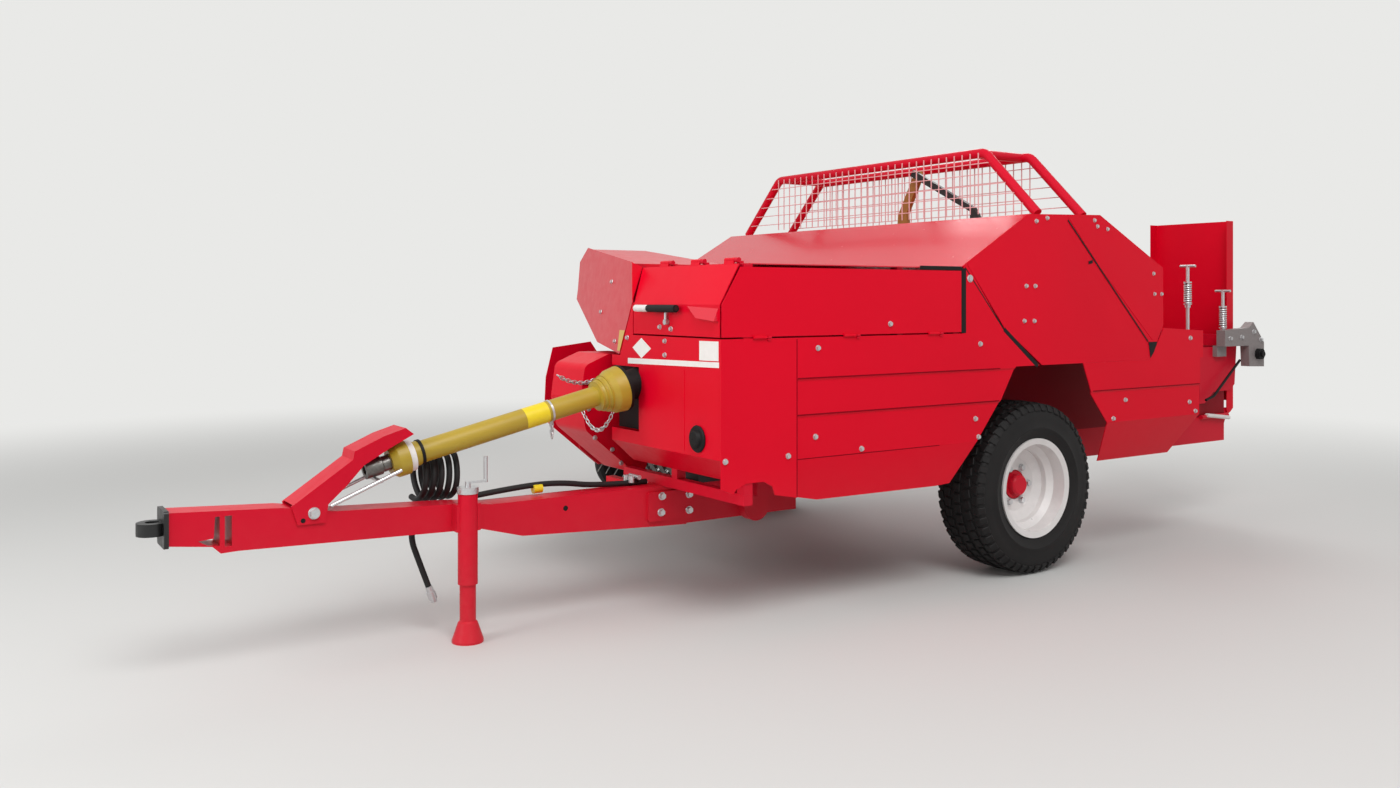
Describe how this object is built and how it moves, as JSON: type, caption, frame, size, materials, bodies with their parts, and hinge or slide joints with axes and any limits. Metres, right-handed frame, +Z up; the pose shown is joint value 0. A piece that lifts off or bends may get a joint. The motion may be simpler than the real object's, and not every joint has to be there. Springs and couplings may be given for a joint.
{
  "type": "square baler",
  "caption": "Towed small square baler with side pickup, drawbar with stand, guarded drive shaft, folded bale chute and wire guard cage.",
  "frame": {"origin": "on the ground, at the middle of the bounding box's length and width", "axes": "+X forward along the drawbar, +Y to the machine's left, +Z up"},
  "size_m": [5.74, 2.228, 1.912],
  "materials": {
    "red_paint": "gloss",
    "silver_paint": "satin",
    "tyre_rubber": "matte",
    "yellow_plastic": "satin",
    "steel": "satin",
    "black_paint": "satin",
    "ochre_paint": "satin",
    "hose_rubber": "satin",
    "mesh_white": "satin",
    "cast_grey": "satin"
  },
  "bodies": {
    "chassis": {"axle": "red_paint", "bale_chamber": "red_paint", "body_frame": "red_paint", "cage_frame": "red_paint", "cage_mesh": "mesh_white", "drawbar": "red_paint", "drive_guard": "red_paint", "drive_shaft": "steel", "feed_hood": "red_paint", "feed_table": "red_paint", "feeder_forks": "steel", "feeder_lever": "ochre_paint", "feeder_rod": "black_paint", "front_frame": "red_paint", "front_shield": "red_paint", "gearbox": "black_paint", "hinge_pins": "steel", "hitch_eye": "black_paint", "hose_coil": "hose_rubber", "hose_coupler": "steel", "hose_run": "hose_rubber", "hose_tail": "hose_rubber", "jack_crank": "steel", "jack_tube": "red_paint", "joint_plates": "red_paint", "left_gable": "red_paint", "left_rear_panel": "red_paint", "left_side_panel": "red_paint", "lower_frame": "red_paint", "main_beam": "red_paint", "plunger": "red_paint", "rear_housing": "cast_grey", "rear_plate": "red_paint", "rest_stay": "steel", "right_panels": "red_paint", "roof": "red_paint", "shaft_guard": "yellow_plastic", "shaft_rest": "red_paint", "tension_frames": "red_paint", "tension_screws": "steel"},
    "left_wheel": {"left_rim": "silver_paint", "left_tyre": "tyre_rubber", "left_hub": "red_paint"},
    "right_wheel": {"right_rim": "silver_paint", "right_tyre": "tyre_rubber", "right_hub": "red_paint"},
    "stand_leg": {"jack_leg": "red_paint"},
    "flap": {"twine_flap": "red_paint"},
    "hood": {"front_hood": "red_paint", "hood_latch": "steel"},
    "chute": {"bale_chute": "red_paint"},
    "pickup": {"pickup_frame": "red_paint", "pickup_bands": "steel"},
    "reel": {"pickup_reel": "steel"},
    "gauge_wheel": {"gauge_wheel": "tyre_rubber"}
  },
  "joints": [
    {"name": "left_wheel_spin", "type": "hinge", "parent": "chassis", "child": "left_wheel", "pos_m": [-0.655, 0.943, 0.38], "axis": [0, 1, 0], "continuous": true},
    {"name": "right_wheel_spin", "type": "hinge", "parent": "chassis", "child": "right_wheel", "pos_m": [-0.655, -0.943, 0.38], "axis": [0, 1, 0], "continuous": true},
    {"name": "stand_leg_lift", "type": "slide", "parent": "chassis", "child": "stand_leg", "axis": [0, 0, 1], "range_m": [0, 0.12]},
    {"name": "twine_flap_hinge", "type": "hinge", "parent": "chassis", "child": "flap", "pos_m": [0.345, 1.1095, 1.075], "axis": [-1, 0, 0], "range_deg": [0, 100]},
    {"name": "front_hood_hinge", "type": "hinge", "parent": "chassis", "child": "hood", "pos_m": [0.979, 0.8, 1.357], "axis": [0, -1, 0], "range_deg": [0, 75]},
    {"name": "bale_chute_hinge", "type": "hinge", "parent": "chassis", "child": "chute", "pos_m": [-2.661, 0.5, 0.59], "axis": [0, -1, 0], "range_deg": [0, 95]},
    {"name": "pickup_lift", "type": "hinge", "parent": "chassis", "child": "pickup", "pos_m": [0.057, -0.37, 0.48], "axis": [0, 1, 0], "range_deg": [0, 14]},
    {"name": "pickup_reel_spin", "type": "hinge", "parent": "pickup", "child": "reel", "pos_m": [0.345, -0.37, 0.52], "axis": [0, 1, 0], "continuous": true},
    {"name": "gauge_wheel_spin", "type": "hinge", "parent": "pickup", "child": "gauge_wheel", "pos_m": [0.225, -1.04, 0.33], "axis": [0, 1, 0], "continuous": true}
  ]
}
